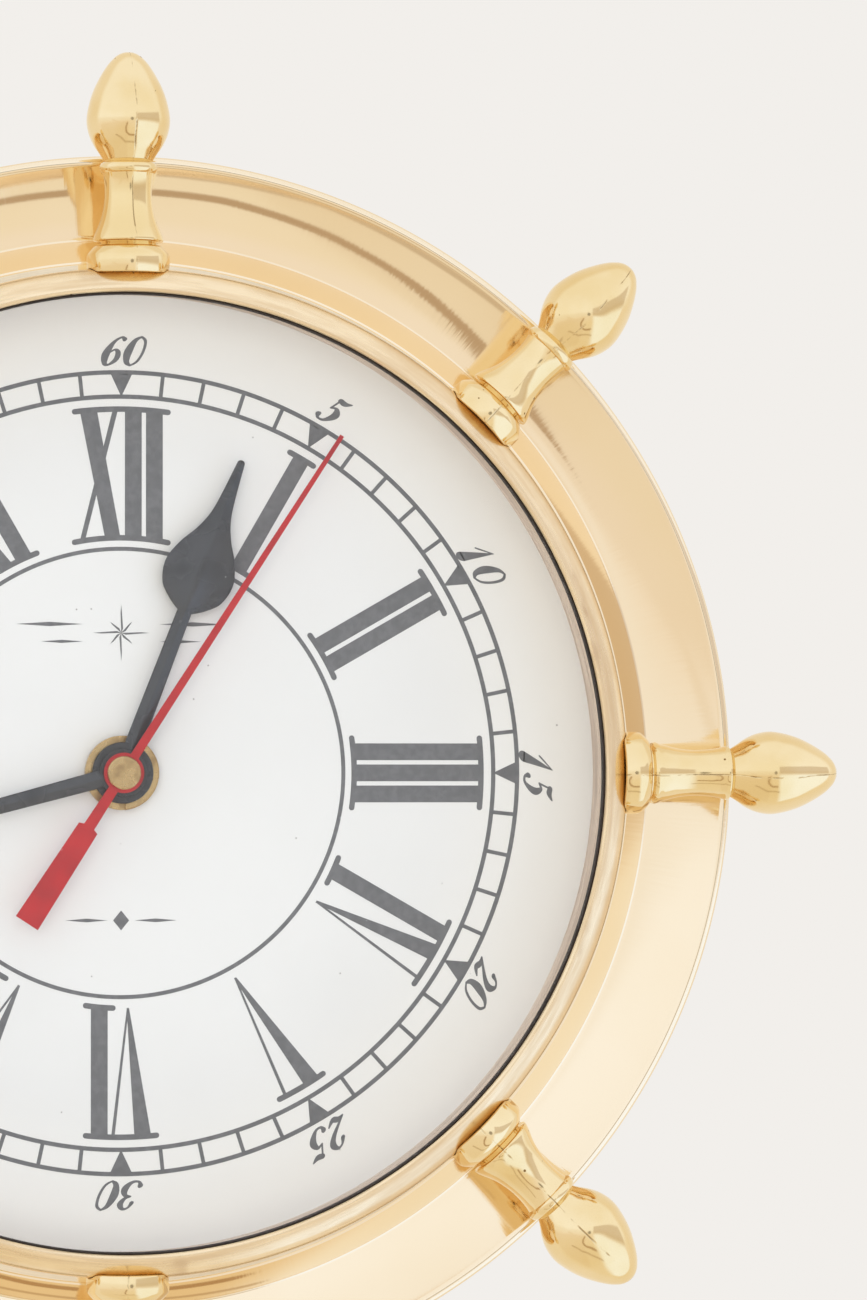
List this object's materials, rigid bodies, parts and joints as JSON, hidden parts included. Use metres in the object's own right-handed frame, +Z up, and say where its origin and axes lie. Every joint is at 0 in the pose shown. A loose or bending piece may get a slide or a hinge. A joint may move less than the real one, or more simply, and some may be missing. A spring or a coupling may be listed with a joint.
{
  "type": "ship's deck clock",
  "caption": "Wall clock in a spun brass ship's wheel rim with turned radial handles, a glazed drum, a printed dial, three hands and a geared quartz movement.",
  "frame": {"origin": "on the hands' axis, in the plane of the rim's rear edge, where the clock rests on the wall", "axes": "+Z up, towards twelve; +X towards three; -Y out of the dial, towards the reader; +Y into the wall"},
  "size_m": [0.2304, 0.0395, 0.2304],
  "materials": {
    "polished_brass": "polished",
    "turned_brass": "turned, satin",
    "spun_brass_back": "lacquered, satin",
    "window_glass": "clear",
    "black_rubber": "matt",
    "anodised_ring": "satin",
    "dial_white": "printed, matt",
    "hand_black": "gloss",
    "hand_red": "gloss",
    "screw_steel": "plated",
    "case_plastic": "moulded",
    "gear_plastic": "moulded",
    "plate_plastic": "moulded",
    "motor_iron": "stamped",
    "magnet": "sintered",
    "copper_wire": "enamelled",
    "circuit_board": "solder mask",
    "chip_resin": "potted",
    "contact_nickel": "nickel plated",
    "battery_jacket": "printed, gloss"
  },
  "bodies": {
    "case": {"wheel_rim": "polished_brass", "bezel_drum": "polished_brass", "handle_collars": "polished_brass", "drum_lock_ring": "turned_brass", "dial_lock_ring": "turned_brass", "glass_gasket": "black_rubber", "glass": "window_glass", "spacer_ring": "anodised_ring", "dial_plate": "dial_white", "back_cover": "spun_brass_back", "cover_screws": "screw_steel", "handle_studs": "screw_steel", "movement_front_case": "case_plastic", "movement_rear_case": "case_plastic", "middle_plate": "plate_plastic", "stator": "motor_iron", "coil_core": "motor_iron", "coil_bobbin": "plate_plastic", "coil_winding": "copper_wire", "circuit_board": "circuit_board", "chip": "chip_resin", "quartz_crystal": "contact_nickel", "positive_contact": "contact_nickel", "negative_contact": "contact_nickel", "rubber_washer": "black_rubber", "brass_washer": "turned_brass", "dial_nut": "turned_brass", "handle_barrel_1": "polished_brass", "handle_knob_1": "polished_brass", "handle_barrel_2": "polished_brass", "handle_knob_2": "polished_brass", "handle_barrel_3": "polished_brass", "handle_knob_3": "polished_brass", "handle_barrel_4": "polished_brass", "handle_knob_4": "polished_brass", "handle_barrel_5": "polished_brass", "handle_knob_5": "polished_brass", "handle_barrel_6": "polished_brass", "handle_knob_6": "polished_brass", "handle_barrel_7": "polished_brass", "handle_knob_7": "polished_brass", "handle_barrel_8": "polished_brass", "handle_knob_8": "polished_brass"},
    "second_arbor": {"second_wheel": "gear_plastic", "second_hand": "hand_red", "second_hand_cap": "turned_brass"},
    "rotor": {"rotor_pinion": "gear_plastic", "rotor_magnet": "magnet"},
    "step_wheel": {"step_wheel": "gear_plastic"},
    "third_wheel": {"third_wheel": "gear_plastic"},
    "minute_arbor": {"centre_wheel": "gear_plastic", "minute_hand": "hand_black"},
    "motion_wheel": {"motion_wheel": "gear_plastic"},
    "hour_arbor": {"hour_wheel": "gear_plastic", "hour_hand": "hand_black"},
    "setting_arbor": {"set_pinion": "gear_plastic", "set_knob": "case_plastic"},
    "battery": {"battery": "battery_jacket"}
  },
  "joints": [
    {"name": "second_spin", "type": "hinge", "parent": "case", "child": "second_arbor", "pos_m": [0, 0, 0], "axis": [0, 1, 0], "continuous": true},
    {"name": "rotor_spin", "type": "hinge", "parent": "case", "child": "rotor", "pos_m": [0.01377, 0, -0.00246], "axis": [0, 1, 0], "continuous": true},
    {"name": "step_spin", "type": "hinge", "parent": "case", "child": "step_wheel", "pos_m": [0.00677, 0, -0.00246], "axis": [0, 1, 0], "continuous": true},
    {"name": "third_spin", "type": "hinge", "parent": "case", "child": "third_wheel", "pos_m": [-0.00883, 0, 0.0051], "axis": [0, 1, 0], "continuous": true},
    {"name": "minute_spin", "type": "hinge", "parent": "case", "child": "minute_arbor", "pos_m": [0, 0, 0], "axis": [0, 1, 0], "continuous": true},
    {"name": "motion_spin", "type": "hinge", "parent": "case", "child": "motion_wheel", "pos_m": [0.00643, 0, 0.0054], "axis": [0, 1, 0], "continuous": true},
    {"name": "hour_spin", "type": "hinge", "parent": "case", "child": "hour_arbor", "pos_m": [0, 0, 0], "axis": [0, 1, 0], "continuous": true},
    {"name": "setting_spin", "type": "hinge", "parent": "case", "child": "setting_arbor", "pos_m": [0.01063, 0, 0.01267], "axis": [0, 1, 0], "continuous": true},
    {"name": "battery_slide", "type": "slide", "parent": "case", "child": "battery", "axis": [0, 1, 0], "range_m": [0, 0.025]}
  ],
  "couplings": [
    {"joint": "rotor_spin", "follows": "second_spin", "ratio": 30},
    {"joint": "step_spin", "follows": "second_spin", "ratio": -5},
    {"joint": "third_spin", "follows": "second_spin", "ratio": -0.13333},
    {"joint": "minute_spin", "follows": "second_spin", "ratio": 0.016667},
    {"joint": "motion_spin", "follows": "second_spin", "ratio": -0.0055556},
    {"joint": "hour_spin", "follows": "second_spin", "ratio": 0.0013889},
    {"joint": "setting_spin", "follows": "second_spin", "ratio": 0.016667}
  ]
}
